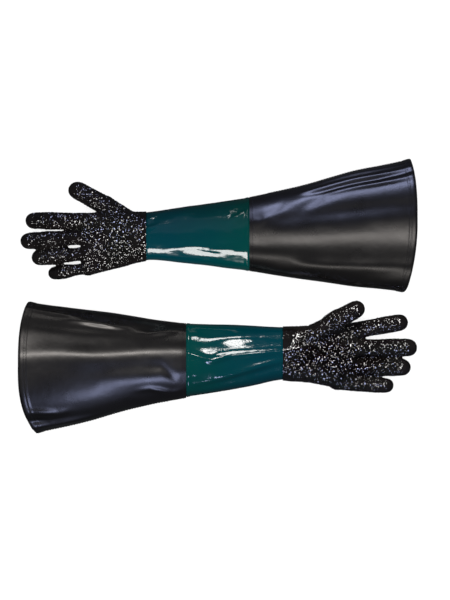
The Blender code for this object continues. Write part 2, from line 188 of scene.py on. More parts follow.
class Arm:
    """One glove's frame: its own coordinates and the outline of its CAD shells."""

    def __init__(self, name, reach):
        self.name, self.reach = name, reach
        self.rim = CAD_BOX[1][0] if reach < 0 else CAD_BOX[0][0]
        self.row = JOINTS[f"{name}_sleeve_bend"]["pos_m"][1]
        self.neck = self.along(JOINTS[f"{name}_sleeve_bend"]["pos_m"][0])
        self.wrist = self.along(JOINTS[f"{name}_wrist_bend"]["pos_m"][0])
        self.front = self.along(JOINTS[f"{name}_middle_knuckle"]["pos_m"][0])
        self.palm = -1 if name == "a" else 1  # which way the palm faces: A's down, B's up
        self.measure()

    def along(self, x):
        return abs(x - self.rim)

    def world(self, u, v, z):
        """Points in the frame from arrays of u, v and z."""
        u, v, z = np.broadcast_arrays(u, v, z)
        return np.stack([self.rim + self.reach * u, self.row + v, z], axis=-1)

    def point(self, u, v=0.0, z=0.0):
        return Vector(self.world(u, v, z).tolist())

    def slice(self, u):
        """(v, half width, z, half depth) of the CAD shells at u."""
        x = self.rim + self.reach * u
        found = []
        for part in ("cuff_panel", "sleeve_shell", "palm_coat"):
            mesh = frame["nodes"][f"{self.name}_{part}"].data
            co = np.array([vertex.co for vertex in mesh.vertices])
            edges = np.array([edge.vertices[:] for edge in mesh.edges])
            a, b = co[edges[:, 0]], co[edges[:, 1]]
            cross = (a[:, 0] - x) * (b[:, 0] - x) < 0
            a, b = a[cross], b[cross]
            share = (x - a[:, 0]) / (b[:, 0] - a[:, 0])
            found.append(a + share[:, None] * (b - a))
        found = np.concatenate(found)
        low, high = found.min(0), found.max(0)
        middle = (low + high) / 2
        return middle[1] - self.row, (high[1] - low[1]) / 2, middle[2], (high[2] - low[2]) / 2

    def measure(self):
        """The outline at stations along the arm, smoothed so that it has no corners."""
        self.stations = np.linspace(0.016, self.wrist + 0.012, 48)
        rows = np.array([self.slice(u) for u in self.stations])
        kernel = np.array([1.0, 2.0, 3.0, 2.0, 1.0]) / 9
        padded = np.concatenate([[rows[0]] * 2, rows, [rows[-1]] * 2])
        padded[:2] = rows[0] + (rows[0] - rows[1]) * np.array([[2.0], [1.0]])
        padded[-2:] = rows[-1] + (rows[-1] - rows[-2]) * np.array([[1.0], [2.0]])
        self.outline = np.stack([np.convolve(padded[:, k], kernel, "valid") for k in range(4)], axis=1)
        table = np.array(OUTLINE_EASE[self.name])
        thumb_side = np.interp(self.stations, table[:, 0], table[:, 1])
        other_side = np.interp(self.stations, table[:, 0], table[:, 2])
        self.outline[:, 0] += (thumb_side - other_side) / 2
        self.outline[:, 1] += (thumb_side + other_side) / 2

    def at(self, u):
        """(v, half width, z, half depth) at an array of u, carried on straight past the ends."""
        u = np.asarray(u, float)
        found = []
        for k in range(4):
            column = self.outline[:, k]
            value = np.interp(u, self.stations, column)
            start = (column[1] - column[0]) / (self.stations[1] - self.stations[0])
            found.append(value + np.minimum(u - self.stations[0], 0) * start)
        return found


class Digit:
    """A digit's root, middle joint, tip and radius, as its joints and its coat's mesh give them."""

    def __init__(self, arm, name):
        self.name = name
        self.root = np.array(JOINTS[f"{arm.name}_{name}_knuckle"]["pos_m"])
        self.middle = np.array(JOINTS[f"{arm.name}_{name}_curl"]["pos_m"])
        mesh = frame["nodes"][f"{arm.name}_{name}_tip_coat"].data
        co = np.array([vertex.co for vertex in mesh.vertices])
        self.apex = co[np.argmax(np.linalg.norm(co - self.middle, axis=1))]
        self.tip_way = (self.apex - self.middle) / np.linalg.norm(self.apex - self.middle)
        away = co - self.middle
        flat = away - np.outer(away @ self.tip_way, self.tip_way)
        self.radius = float(np.linalg.norm(flat, axis=1).max())
        self.length = float(np.linalg.norm(self.middle - self.root))
        self.base_way = (self.middle - self.root) / self.length


# Meshes


def add_object(name, data):
    obj = bpy.data.objects.new(name, data)
    bpy.context.scene.collection.objects.link(obj)
    return obj


def copy_object(source, name):
    obj = source.copy()
    obj.data = source.data.copy()
    obj.name = obj.data.name = name
    bpy.context.scene.collection.objects.link(obj)
    return obj


@contextmanager
def edited(mesh):
    """The mesh as a bmesh, written back when the edit is over."""
    builder = bmesh.new()
    builder.from_mesh(mesh)
    yield builder
    builder.to_mesh(mesh)
    builder.free()


def mesh_object(name, points, faces, materials):
    mesh = bpy.data.meshes.new(name)
    mesh.from_pydata([tuple(p) for p in points], [], faces)
    mesh.update()
    for finish in materials:
        mesh.materials.append(finish)
    mesh.shade_smooth()
    return add_object(name, mesh)


def grid_faces(rings, around, first=0):
    """The faces between rings of points, which are numbered ring by ring from the first."""
    faces = []
    for i in range(rings - 1):
        near = first + i * around
        far = near + around
        for j in range(around):
            k = (j + 1) % around
            faces.append((near + j, near + k, far + k, far + j))
    return faces


def grid_normals(points):
    """Outward normals of a closed tube, points[ring, step, xyz]."""
    around = np.roll(points, -1, axis=1) - np.roll(points, 1, axis=1)
    along = np.gradient(points, axis=0)
    normals = np.cross(along, around)
    normals /= np.linalg.norm(normals, axis=2, keepdims=True)
    centre = points.mean(axis=1, keepdims=True)
    outwards = np.sum(normals * (points - centre), axis=2).mean()
    return normals if outwards > 0 else -normals


def tube_object(name, points, normals, thickness, materials, inner_slot=1):
    """A tube with a real wall: outer and inner skins joined at both ends."""
    rings, around = points.shape[:2]
    inner = points - normals * thickness
    co = np.concatenate([points.reshape(-1, 3), inner.reshape(-1, 3)])
    outer_faces = grid_faces(rings, around)
    offset = rings * around
    inner_faces = [tuple(i + offset for i in face[::-1]) for face in outer_faces]
    ends = []
    for j in range(around):
        k = (j + 1) % around
        last = (rings - 1) * around
        ends.append((k, j, j + offset, k + offset))
        ends.append((last + j, last + k, last + k + offset, last + j + offset))
    obj = mesh_object(name, co, outer_faces + inner_faces + ends, materials)
    slots = np.zeros(len(obj.data.polygons), np.int32)
    slots[len(outer_faces) : len(outer_faces) + len(inner_faces)] = inner_slot
    obj.data.polygons.foreach_set("material_index", slots)
    outwards = normals.reshape(-1, 3)
    first = obj.data.polygons[0]
    if first.normal.dot(Vector(outwards[first.vertices[0]])) < 0:
        obj.data.flip_normals()
    shade = np.concatenate([outwards, -outwards])
    obj.data.normals_split_custom_set_from_vertices([tuple(n) for n in shade])
    return obj


class Fold:
    """A ridge or valley along a line on the arm's top, in u and in w, which runs from -1 to 1 towards
    the thumb."""

    def __init__(self, start, end, height, width, lean=0.0, wave=0.0):
        self.start, self.end = start, end
        self.height, self.width, self.lean, self.wave = height, width, lean, wave

    def raise_by(self, u, w, half_width):
        (u0, w0), (u1, w1) = self.start, self.end
        share = np.clip((u - u0) / (u1 - u0), 0.0, 1.0)
        middle = w0 + share * (w1 - w0) + self.wave * np.sin(share * math.tau * 1.3) * 0.5
        away = (w - middle) * half_width
        beyond = np.abs(u - (u0 + share * (u1 - u0)))
        fade = np.exp(-((beyond / 0.018) ** 2)) * (0.25 + 0.75 * np.sin(math.pi * (0.12 + 0.76 * share)))
        side = np.where(away * np.sign(self.lean or 1.0) > 0, 1.0 - 0.6 * abs(self.lean), 1.0)
        return self.height * fade * np.exp(-((away / (self.width * side)) ** 2))


def arm_surface(arm, u, folds, rumples, inset, salt):
    """Rings of points of the arm at u[ring, step], folded and rumpled, and resting on the table."""
    v0, half_width, z0, half_depth = arm.at(u)
    cos, sin = np.cos(ARM_ANGLES)[None, :], np.sin(ARM_ANGLES)[None, :]
    square = 2 / 2.12
    v = v0 + (half_width - inset) * np.sign(cos) * np.abs(cos) ** square
    z = z0 + (half_depth - inset) * np.sign(sin) * np.abs(sin) ** square
    points = arm.world(u, v, z)
    normals = grid_normals(points)
    w = (v - v0) / half_width
    top = smoothstep(sin * np.ones_like(u), -0.05, 0.45)
    rise = np.zeros_like(u)
    for fold in folds:
        rise += fold.raise_by(u, w, half_width) * top
    flat = np.stack([u.ravel() * 0.55, v.ravel(), z.ravel()], axis=1)
    for size, height in rumples:
        rise += (height * value_noise(flat, size, salt + size * 1000)).reshape(u.shape)
    points = points + normals * rise[..., None]
    points[..., 2] = np.maximum(points[..., 2], TABLE_CLEARANCE)
    return points


# The cuff


# How far the rim's corners are drawn back, thumb side then other side: (amount, power, last turn)
RIM = {
    "a": ((0.010, 3.0, 0.0), (0.016, 1.8, 0.003)),
    "b": ((0.013, 3.0, 0.001), (0.027, 2.3, 0.0)),
}


def rim_u(arm):
    """The rim's curve: it reaches further at its middle than at its sides."""
    side = np.cos(ARM_ANGLES)
    thumb_side, other_side = RIM[arm.name]
    amount, power, turn = (np.where(side > 0, a, b) for a, b in zip(thumb_side, other_side))
    side = np.abs(side)
    return amount * side**power + turn * side**24


def cuff_u(arm, start_inset, end, step):
    """Rings that follow the rim's curve all through the hem, and straighten towards the neck."""
    hem = np.arange(0.0, min(HEM_WIDTH + 0.004, end - start_inset) + 1e-6, min(step, HEM_RING_STEP))
    rings = rim_u(arm)[None, :] + start_inset + hem[:, None]
    if end <= start_inset + hem[-1] + step:
        return rings
    count = int(round((end - start_inset - hem[-1]) / step)) + 1
    share = np.linspace(0, 1, count)[1:, None]
    return np.concatenate([rings, rings[-1:] + share * (end - rings[-1:])])


def hem_profile(u, arm):
    """How far the doubled hem stands out: a soft step at its inner edge and a rolled rim."""
    deep = u - rim_u(arm)[None, :]
    step = HEM_STEP * (1 - smoothstep(deep, HEM_WIDTH - 0.001, HEM_WIDTH + 0.003))
    groove = -0.0006 * np.exp(-(((deep - HEM_WIDTH + STITCH_INSET) / 0.0011) ** 2))
    roll = -0.0010 * np.exp(-((deep / 0.0016) ** 2))
    return step + groove + roll


CUFF_FOLDS = {
    "a": [
        Fold((0.012, 0.86), (0.165, 0.84), 0.0026, 0.0030, lean=0.5),
        Fold((0.010, 0.79), (0.150, 0.76), -0.0018, 0.0026),
        Fold((0.008, 0.71), (0.120, 0.70), 0.0020, 0.0034, lean=-0.4),
        Fold((0.020, 0.94), (0.180, 0.94), 0.0024, 0.0026),
        Fold((0.140, 0.66), (0.180, 0.52), -0.0014, 0.0095),
        Fold((0.160, 0.78), (0.205, 0.58), 0.0010, 0.0120),
        Fold((0.205, 0.62), (0.235, 0.40), -0.0011, 0.0085),
        Fold((0.220, 0.45), (0.240, 0.32), 0.0010, 0.0060),
        Fold((0.020, -0.62), (0.170, -0.70), 0.0020, 0.0120, lean=0.4),
        Fold((0.010, 0.30), (0.200, 0.34), -0.0020, 0.0120),
        Fold((0.005, -0.10), (0.200, -0.16), 0.0012, 0.0220),
    ],
    "b": [
        Fold((0.010, 0.90), (0.090, 0.86), 0.0024, 0.0028),
        Fold((0.090, 0.80), (0.150, 0.74), 0.0026, 0.0045, lean=-0.5),
        Fold((0.020, 0.70), (0.150, 0.66), -0.0012, 0.0070),
        Fold((0.200, 0.66), (0.245, 0.80), 0.0026, 0.0050),
        Fold((0.010, 0.20), (0.245, 0.20), 0.0026, 0.0170, lean=0.3, wave=0.05),
        Fold((0.130, -0.30), (0.235, -0.42), 0.0018, 0.0150),
        Fold((0.218, -0.12), (0.245, -0.50), -0.0014, 0.0085),
        Fold((0.200, -0.62), (0.235, -0.78), 0.0026, 0.0040),
        Fold((0.010, -0.62), (0.060, -0.74), 0.0024, 0.0045),
        Fold((0.008, -0.76), (0.050, -0.86), -0.0034, 0.0050),
        Fold((0.008, -0.88), (0.120, -0.94), 0.0030, 0.0040),
    ],
}
# Noise in the surface, as size and height
CUFF_RUMPLE = ((0.060, 0.0014), (0.028, 0.0006))
CUFF_SALT = {"a": 3, "b": 11}


def cuff_surface(arm, start_inset, end, step=ARM_STEP):
    """Points and normals of the vinyl's outer side, from near the rim to the end."""
    u = cuff_u(arm, start_inset, end, step)
    points = arm_surface(arm, u, CUFF_FOLDS[arm.name], CUFF_RUMPLE, 0.0, CUFF_SALT[arm.name])
    points += grid_normals(points) * hem_profile(u, arm)[..., None]
    return points, grid_normals(points)


def build_cuff(arm, finishes):
    name = arm.name
    sides = [finishes["vinyl"], finishes["backing"]]
    surface = cuff_surface(arm, 0.0, arm.neck + CUFF_PAST_NECK)
    panel = tube_object(f"{name}_vinyl_cuff", *surface, VINYL_THICKNESS, sides)
    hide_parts(f"{name}_cuff_panel", f"{name}_cuff_backing")
    blend_neck(arm, panel)

    hem = hem_band(arm, finishes)
    threads = hem_stitches(arm, finishes)
    seam = side_seam(arm, finishes)
    join = neck_join(arm, finishes)


def blend_neck(arm, piece):
    arm.point(arm.neck - NECK_BEND)
    arm.point(arm.neck + NECK_BEND)
    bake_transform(piece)


def blend_wrist(arm, piece):
    arm.point(arm.wrist - WRIST_BEND)
    arm.point(arm.wrist + WRIST_BEND)
    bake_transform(piece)


def hem_band(arm, finishes):
    """The vinyl turned in at the rim and sewn down inside the mouth."""
    outer, normals = cuff_surface(arm, 0.0004, HEM_WIDTH, step=0.0018)
    inner = outer - normals * (VINYL_THICKNESS + 0.0001)
    band = tube_object(f"{arm.name}_turned_hem", inner, normals, TURNED_THICKNESS, [finishes["vinyl"]], 0)
    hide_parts(f"{arm.name}_cuff_hem")
    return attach(band, f"{arm.name}_cuff")


def capsule_rows(name, centres, ways, ups, finish):
    """Stitches in one mesh: a six-sided pill at each centre, along its way."""
    sides = 6
    profile = [(-0.5, 0.35), (-0.36, 1.0), (0.36, 1.0), (0.5, 0.35)]
    points, faces = [], []
    for centre, way, up in zip(centres, ways, ups):
        across = np.cross(way, up)
        base = len(points)
        for share, size in profile:
            for side in range(sides):
                angle = math.tau * side / sides
                ring = across * math.cos(angle) + up * math.sin(angle)
                points.append(centre + way * share * STITCH_LENGTH + ring * STITCH_RADIUS * size)
        faces += grid_faces(len(profile), sides, base)
        last = base + (len(profile) - 1) * sides
        faces.append(tuple(base + j for j in reversed(range(sides))))
        faces.append(tuple(last + j for j in range(sides)))
    return mesh_object(name, points, faces, [finish])


def run_along(line):
    gaps = np.linalg.norm(np.diff(line, axis=0), axis=1)
    return np.concatenate([[0], np.cumsum(gaps)])


def points_at(at, run, line):
    return np.stack([np.interp(at, run, line[:, k]) for k in range(3)], axis=1)


def stitches(name, replaced, arm, centres, ways, ups, finishes):
    """A row of stitches that lie in the surface, pointing along their ways."""
    ways /= np.maximum(np.linalg.norm(ways, axis=1, keepdims=True), 1e-9)
    ups -= np.sum(ups * ways, axis=1, keepdims=True) * ways
    ups /= np.linalg.norm(ups, axis=1, keepdims=True)
    row = capsule_rows(f"{arm.name}_{name}_stitches", centres, ways, ups, finishes["thread"])
    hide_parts(f"{arm.name}_{replaced}")
    return row


def stitched_loop(name, replaced, arm, points, normals, finishes):
    """Stitches at even steps round a closed loop."""
    ring = np.concatenate([points, points[:1]])
    run = run_along(ring)
    count = int(run[-1] / STITCH_PITCH)
    at = (np.arange(count) + 0.5) * run[-1] / count
    centres = points_at(at, run, ring)
    ups = points_at(at, run, np.concatenate([normals, normals[:1]]))
    ways = points_at(at + STITCH_PITCH * 0.2, run, ring) - centres
    return stitches(name, replaced, arm, centres, ways, ups, finishes)


def hem_stitches(arm, finishes):
    """The row of stitches that holds the hem, a step in from its inner edge."""
    points, normals = cuff_surface(arm, 0.0, arm.neck, step=HEM_RING_STEP)
    wanted = rim_u(arm) + HEM_WIDTH - STITCH_INSET
    row = np.argmin(np.abs(arm.along(points[..., 0]) - wanted[None, :]), axis=0)
    steps = np.arange(ARM_AROUND)
    loop, ups = points[row, steps], normals[row, steps]
    loop = loop + ups * STITCH_RADIUS * 0.6
    threads = stitched_loop("hem", "hem_thread", arm, loop, ups, finishes)
    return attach(threads, f"{arm.name}_cuff")


def side_seam(arm, finishes):
    """The stitches of the cuff's side seam, along the side away from the other glove."""
    end = arm.neck - NECK_BEND - 0.001
    points, normals = cuff_surface(arm, HEM_WIDTH + 0.002, end, step=0.0020)
    side = 0 if arm.row > 0 else ARM_AROUND // 2
    ups = normals[:, side]
    line = points[:, side] + (0, 0, SEAM_ABOVE_MIDDLE) + ups * STITCH_RADIUS * 0.5
    run = run_along(line)
    at = np.arange(STITCH_PITCH, run[-1] - STITCH_PITCH, STITCH_PITCH)
    centres = points_at(at, run, line)
    ways = np.gradient(centres, axis=0)
    ups = points_at(at, run, ups)
    threads = stitches("side_seam", "seam_thread", arm, centres, ways, ups, finishes)
    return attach(threads, f"{arm.name}_cuff")


def neck_join(arm, finishes):
    """The stitches that hold the sleeve in the cuff's neck."""
    points, normals = cuff_surface(arm, 0.0, arm.neck + CUFF_PAST_NECK)
    row = points.shape[0] - 3
    loop = points[row] + normals[row] * STITCH_RADIUS * 0.5
    threads = stitched_loop("neck", "join_thread", arm, loop, normals[row], finishes)
    blend_neck(arm, threads)
    return threads


# The sleeve

SLEEVE_FOLDS = {
    "a": [
        Fold((0.258, -0.50), (0.296, -0.54), 0.0012, 0.0060, lean=0.3),
        Fold((0.275, -0.40), (0.320, -0.50), 0.0012, 0.0038),
        Fold((0.300, -0.62), (0.350, -0.50), -0.0008, 0.0040),
        Fold((0.330, -0.40), (0.395, -0.58), 0.0009, 0.0042),
        Fold((0.395, 0.42), (0.418, 0.30), 0.0012, 0.0035),
        Fold((0.395, 0.86), (0.416, 0.66), 0.0010, 0.0030),
        Fold((0.262, 0.62), (0.285, 0.40), 0.0010, 0.0050),
    ],
    "b": [
        Fold((0.256, 0.22), (0.298, -0.06), 0.0020, 0.0046, lean=-0.3),
        Fold((0.292, -0.06), (0.326, 0.07), 0.0020, 0.0046),
        Fold((0.318, 0.07), (0.420, 0.08), 0.0024, 0.0056, lean=0.3),
        Fold((0.312, 0.58), (0.368, 0.62), 0.0018, 0.0060),
        Fold((0.300, -0.62), (0.408, -0.24), 0.0022, 0.0055),
        Fold((0.280, -0.78), (0.400, -0.50), -0.0015, 0.0060),
        Fold((0.262, 0.86), (0.300, 0.72), -0.0016, 0.0070),
        Fold((0.300, 0.06), (0.322, 0.02), 0.0010, 0.0030),
    ],
}
SLEEVE_SALT = {"a": 5, "b": 17}
SLEEVE_RUMPLE = {
    "a": ((0.050, 0.0006), (0.018, 0.00055), (0.008, 0.00018)),
    "b": ((0.050, 0.0006), (0.018, 0.00045), (0.008, 0.00006)),
}


def build_sleeve(arm, finishes):
    """The dipped sleeve in two lengths that meet where neither bends, with its liner inside."""
    name = arm.name
    middle = (arm.neck + arm.wrist) / 2
    start, end = arm.neck - 0.004, arm.wrist + 0.010
    count_low = int(round((middle - start) / ARM_STEP))
    step = (middle - start) / count_low
    count = count_low + int(round((end - middle) / step))
    rings = np.linspace(start, start + count * step, count + 1)
    u = np.repeat(rings[:, None], ARM_AROUND, axis=1)
    points = arm_surface(arm, u, SLEEVE_FOLDS[name], SLEEVE_RUMPLE[name], 0.0004, SLEEVE_SALT[name])
    bead = BEAD_HEIGHT * np.exp(-(((u - arm.neck - 0.0045) / 0.0022) ** 2))
    tuck = -0.0022 * (1 - smoothstep(u, arm.neck - 0.001, arm.neck + 0.0025))
    under_coat = -0.0018 * smoothstep(u, arm.wrist - 0.001, arm.wrist + 0.003)
    points += grid_normals(points) * (bead + tuck + under_coat)[..., None]
    normals = grid_normals(points)
    sides = [finishes["sleeve"], finishes["liner"]]
    for part, low, high in (("upper", 0, count_low + 1), ("lower", count_low, count + 1)):
        piece = tube_object(
            f"{name}_sleeve_{part}", points[low:high], normals[low:high], SLEEVE_THICKNESS, sides
        )
        run = np.clip((u[low:high] - arm.neck) / (arm.wrist - arm.neck), 0, 1).ravel()
        layer = piece.data.attributes.new("along", "FLOAT", "POINT")
        layer.data.foreach_set("value", np.concatenate([run, run]).astype(np.float32))
        if part == "upper":
            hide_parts(f"{name}_sleeve_shell", f"{name}_sleeve_liner")
            blend_neck(arm, piece)
        else:
            blend_wrist(arm, piece)


# The hand


class Limb:
    """A run of round cross-sections: points along the middle, and a radius at each."""

    def __init__(self, points, radii):
        self.points = [np.asarray(p, float) for p in points]
        self.radii = radii


def unit(vector):
    return vector / np.linalg.norm(vector)


def cap_stations(end, radius, out):
    """The rings of a rounded end, from the last full section outwards."""
    stations = []
    for step in range(1, CAP_RINGS + 1):
        angle = math.pi / 2 * step / (CAP_RINGS + 0.4)
        stations.append((end + out * radius * math.sin(angle), radius * math.cos(angle)))
    return stations


def limb_mesh(builder, limb):
    """Adds a closed tube with rounded ends, densely enough for a remesh to follow it."""
    points, radii = limb.points, limb.radii
    first = unit(points[1] - points[0])
    last = unit(points[-1] - points[-2])
    stations = [(*ring, first) for ring in reversed(cap_stations(points[0], radii[0], -first))]
    for i, (point, radius) in enumerate(zip(points, radii)):
        before = points[max(i - 1, 0)]
        after = points[min(i + 1, len(points) - 1)]
        stations.append((point, radius, unit(after - before)))
    stations += [(*ring, last) for ring in cap_stations(points[-1], radii[-1], last)]
    rings = []
    for centre, radius, way in stations:
        side = unit(np.cross(way, (0.0, 0.0, 1.0)))
        up = np.cross(side, way)
        ring = []
        for k in range(LIMB_AROUND):
            angle = math.tau * k / LIMB_AROUND
            outwards = side * math.cos(angle) + up * math.sin(angle)
            ring.append(builder.verts.new(tuple(centre + radius * outwards)))
        rings.append(ring)
    join_rings(builder, rings)


def join_rings(builder, rings):
    around = len(rings[0])
    for a, b in zip(rings, rings[1:]):
        for j in range(around):
            k = (j + 1) % around
            builder.faces.new((a[j], a[k], b[k], b[j]))
    builder.faces.new(rings[0][::-1])
    builder.faces.new(rings[-1])


# Cross-sections of the palm: share of the way from the wrist to the knuckles, and half width, half
# depth, and shifts of the middle, as shares of what a straight run between the two ends would give
PALM = {
    "a": [(0.15, 1.00, 1.00, 0.0, 0.0), (0.40, 1.02, 1.06, 0.0, 0.001), (0.70, 1.02, 1.10, 0.0, 0.001)],
    "b": [(0.15, 0.99, 1.00, 0.0, 0.0), (0.40, 0.97, 1.04, 0.001, 0.0), (0.70, 0.99, 1.04, 0.001, 0.0)],
}
# The ball of the thumb and its root, in u past the wrist, v, z and radius
THENAR = {
    "a": [(0.020, 0.017, 0.030, 0.0150), (0.040, 0.028, 0.0265, 0.0158)],
    "b": [
        (0.022, 0.0290, 0.0310, 0.0120),
        (0.046, 0.0385, 0.0355, 0.0155),
        (0.066, 0.0485, 0.0385, 0.0148),
    ],
}
# The heel of the hand on the little finger's side
HEEL = {
    "a": [(0.030, -0.029, 0.028, 0.0130), (0.075, -0.0445, 0.028, 0.0140)],
    "b": [(0.028, -0.0165, 0.0230, 0.0155), (0.070, -0.0245, 0.0220, 0.0160)],
}
# How thick a finger is at its root and past its middle joint, as shares of its own radius
FINGER_SHAPE = {
    "a": {"index": (0.96, 1.03), "middle": (0.88, 1.05), "ring": (0.82, 1.06), "little": (0.78, 1.06)},
    "b": {"index": (0.98, 1.02), "middle": (1.0, 1.03), "ring": (1.0, 1.04), "little": (1.0, 1.03)},
}
# How much further a digit's tip reaches than its coat in the CAD: a finger's, then the thumb's
TIP_REACH = {"a": (0.0028, 0.0032), "b": (0.0028, -0.0012)}
# Where the palm ends and where its last ring is, past the knuckles
PALM_FRONT = {"a": (-0.012, -0.002), "b": (-0.004, 0.006)}


def limb_past_wrist(arm, rows):
    return Limb([arm.world(arm.wrist + u, v, z) for u, v, z, _ in rows], [radius for *_, radius in rows])


def palm_rings(arm, digits, builder):
    """The palm as a closed loft from inside the sleeve to the roots of the fingers."""
    wrist_v, wrist_half, wrist_z, wrist_depth = (float(x) for x in arm.at(arm.wrist))
    index, little = digits["index"], digits["little"]
    top, bottom = index.root[1] + index.radius, little.root[1] - little.radius
    front = (top + bottom) / 2 - arm.row, (top - bottom) / 2, index.root[2], index.radius * 1.28
    length = arm.front - arm.wrist
    rows = [(-0.012, *(float(x) for x in arm.at(arm.wrist - 0.012)))]
    rows.append((0.0, wrist_v, wrist_half + 0.0006, wrist_z, wrist_depth + 0.0006))
    for share, wide, deep, dv, dz in PALM[arm.name]:
        rows.append(
            (
                share * length,
                wrist_v + share * (front[0] - wrist_v) + dv,
                (wrist_half + share * (front[1] - wrist_half)) * wide,
                wrist_z + share * (front[2] - wrist_z) + dz,
                (wrist_depth + share * (front[3] - wrist_depth)) * deep,
            )
        )
    full, last = PALM_FRONT[arm.name]
    rows.append((length + full, front[0], front[1] * 0.985, front[2], front[3]))
    rows.append((length + last, front[0], front[1] * 0.93, front[2], front[3] * 0.66))
    rings = []
    for u, v0, half_width, z0, half_depth in rows:
        ring = []
        for k in range(PALM_AROUND):
            angle = math.tau * k / PALM_AROUND
            cos, sin = math.cos(angle), math.sin(angle)
            v = v0 + half_width * math.copysign(abs(cos) ** 0.86, cos)
            z = z0 + half_depth * math.copysign(abs(sin) ** 0.90, sin)
            ring.append(builder.verts.new(tuple(arm.world(arm.wrist + u, v, z))))
        rings.append(ring)
    join_rings(builder, rings)


def digit_limb(arm, digit):
    """A digit's run of sections, from inside the palm to the middle of its rounded tip."""
    radius = digit.radius
    tip = digit.apex - digit.tip_way * radius
    inside = digit.root - digit.base_way * (0.026 if digit.name != "thumb" else 0.012)
    tip = tip + digit.tip_way * TIP_REACH[arm.name][digit.name == "thumb"]
    if digit.name == "thumb":
        shares = (1.05, 1.04, 1.0, 0.97)
        return Limb([inside, digit.root, digit.middle, tip], [radius * share for share in shares])
    neck, belly = FINGER_SHAPE[arm.name][digit.name]
    halfway = (digit.root + digit.middle) / 2
    further = digit.middle * 0.6 + tip * 0.4
    return Limb(
        [inside, digit.root, halfway, digit.middle, further, tip],
        [radius * share for share in (neck, neck, neck, (neck + 1) / 2, belly, 0.975)],
    )


def apply_modifiers(obj):
    graph = bpy.context.evaluated_depsgraph_get()
    mesh = bpy.data.meshes.new_from_object(obj.evaluated_get(graph))
    obj.modifiers.clear()
    obj.data = mesh


def mesh_arrays(mesh):
    co = np.zeros(len(mesh.vertices) * 3)
    mesh.vertices.foreach_get("co", co)
    normals = np.zeros(len(mesh.vertices) * 3)
    mesh.vertices.foreach_get("normal", normals)
    return co.reshape(-1, 3), normals.reshape(-1, 3)


def hand_form(arm, digits):
    """The hand's smooth form: palm, thumb ball, heel and digits, melted together."""
    builder = bmesh.new()
    palm_rings(arm, digits, builder)
    for digit in digits.values():
        limb_mesh(builder, digit_limb(arm, digit))
    thenar = limb_past_wrist(arm, THENAR[arm.name])
    thenar.points.append(digits["thumb"].root)
    thenar.radii.append(digits["thumb"].radius * 1.1)
    limb_mesh(builder, thenar)
    limb_mesh(builder, limb_past_wrist(arm, HEEL[arm.name]))
    bmesh.ops.recalc_face_normals(builder, faces=builder.faces)
    mesh = bpy.data.meshes.new(f"{arm.name}_hand_form")
    builder.to_mesh(mesh)
    builder.free()
    obj = add_object(f"{arm.name}_hand_form", mesh)
    remesh = obj.modifiers.new("remesh", "REMESH")
    remesh.mode = "VOXEL"
    remesh.voxel_size = HAND_VOXEL
    smooth = obj.modifiers.new("smooth", "SMOOTH")
    smooth.factor = 0.5
    smooth.iterations = SMOOTH_PASSES
    apply_modifiers(obj)
    return obj


# Creases and ridges of the hand's upper side: start and end in u past the wrist and v, height, width
HAND_FOLDS = {
    "a": [
        ((0.030, 0.034), (0.060, 0.030), -0.0012, 0.0040),
        ((0.092, 0.009), (0.108, 0.009), -0.0016, 0.0030),
        ((0.092, -0.017), (0.108, -0.017), -0.0016, 0.0030),
        ((0.092, -0.043), (0.108, -0.043), -0.0016, 0.0030),
    ],
    "b": [
        ((-0.004, 0.012), (0.050, 0.023), 0.0024, 0.0032),
        ((0.010, 0.022), (0.034, 0.046), -0.0008, 0.0080),
        ((0.034, 0.024), (0.080, 0.018), -0.0022, 0.0060),
        ((0.012, -0.002), (0.060, -0.004), -0.0014, 0.0060),
        ((0.088, 0.044), (0.104, 0.028), -0.0016, 0.0035),
    ],
}


def hand_creases(arm, digits, points, normals):
    """How far the coat sinks or stands at the hand's creases, knuckles and finger joints."""
    rise = np.zeros(len(points))
    plan = np.stack([arm.along(points[:, 0]) - arm.wrist, points[:, 1] - arm.row], axis=1)
    top = smoothstep(normals[:, 2], 0.1, 0.6)
    for start, end, height, width in HAND_FOLDS[arm.name]:
        start, end = np.array(start), np.array(end)
        way = end - start
        share = (plan - start) @ way / (way @ way)
        near = start + np.clip(share, 0, 1)[:, None] * way
        off = np.linalg.norm(plan - near, axis=1)
        swell = 0.55 + 0.45 * np.sin(np.clip(share, 0, 1) * math.pi)
        rise += height * top * np.exp(-((off / width) ** 2)) * swell
    faces_palm = smoothstep(normals[:, 2] * arm.palm, 0.0, 0.6)
    faces_back = smoothstep(-normals[:, 2] * arm.palm, 0.0, 0.6)
    for digit in digits.values():
        to_root = points - digit.root
        along = to_root @ digit.base_way
        off = np.linalg.norm(to_root - np.outer(along, digit.base_way), axis=1)
        near = 1 - smoothstep(off, digit.radius * 1.15, digit.radius * 1.6)
        middle = np.abs((points - digit.middle) @ (digit.base_way + digit.tip_way) / 2)
        rise -= 0.0011 * near * faces_palm * np.exp(-((middle / 0.0030) ** 2))
        rise += 0.0006 * near * faces_back * np.exp(-((middle / 0.0060) ** 2))
        if digit.name != "thumb":
            rise -= 0.0010 * near * faces_palm * np.exp(-(((along - 0.004) / 0.0035) ** 2))
            rise += 0.0011 * near * faces_back * np.exp(-(((along + 0.010) / 0.0090) ** 2))
    return rise


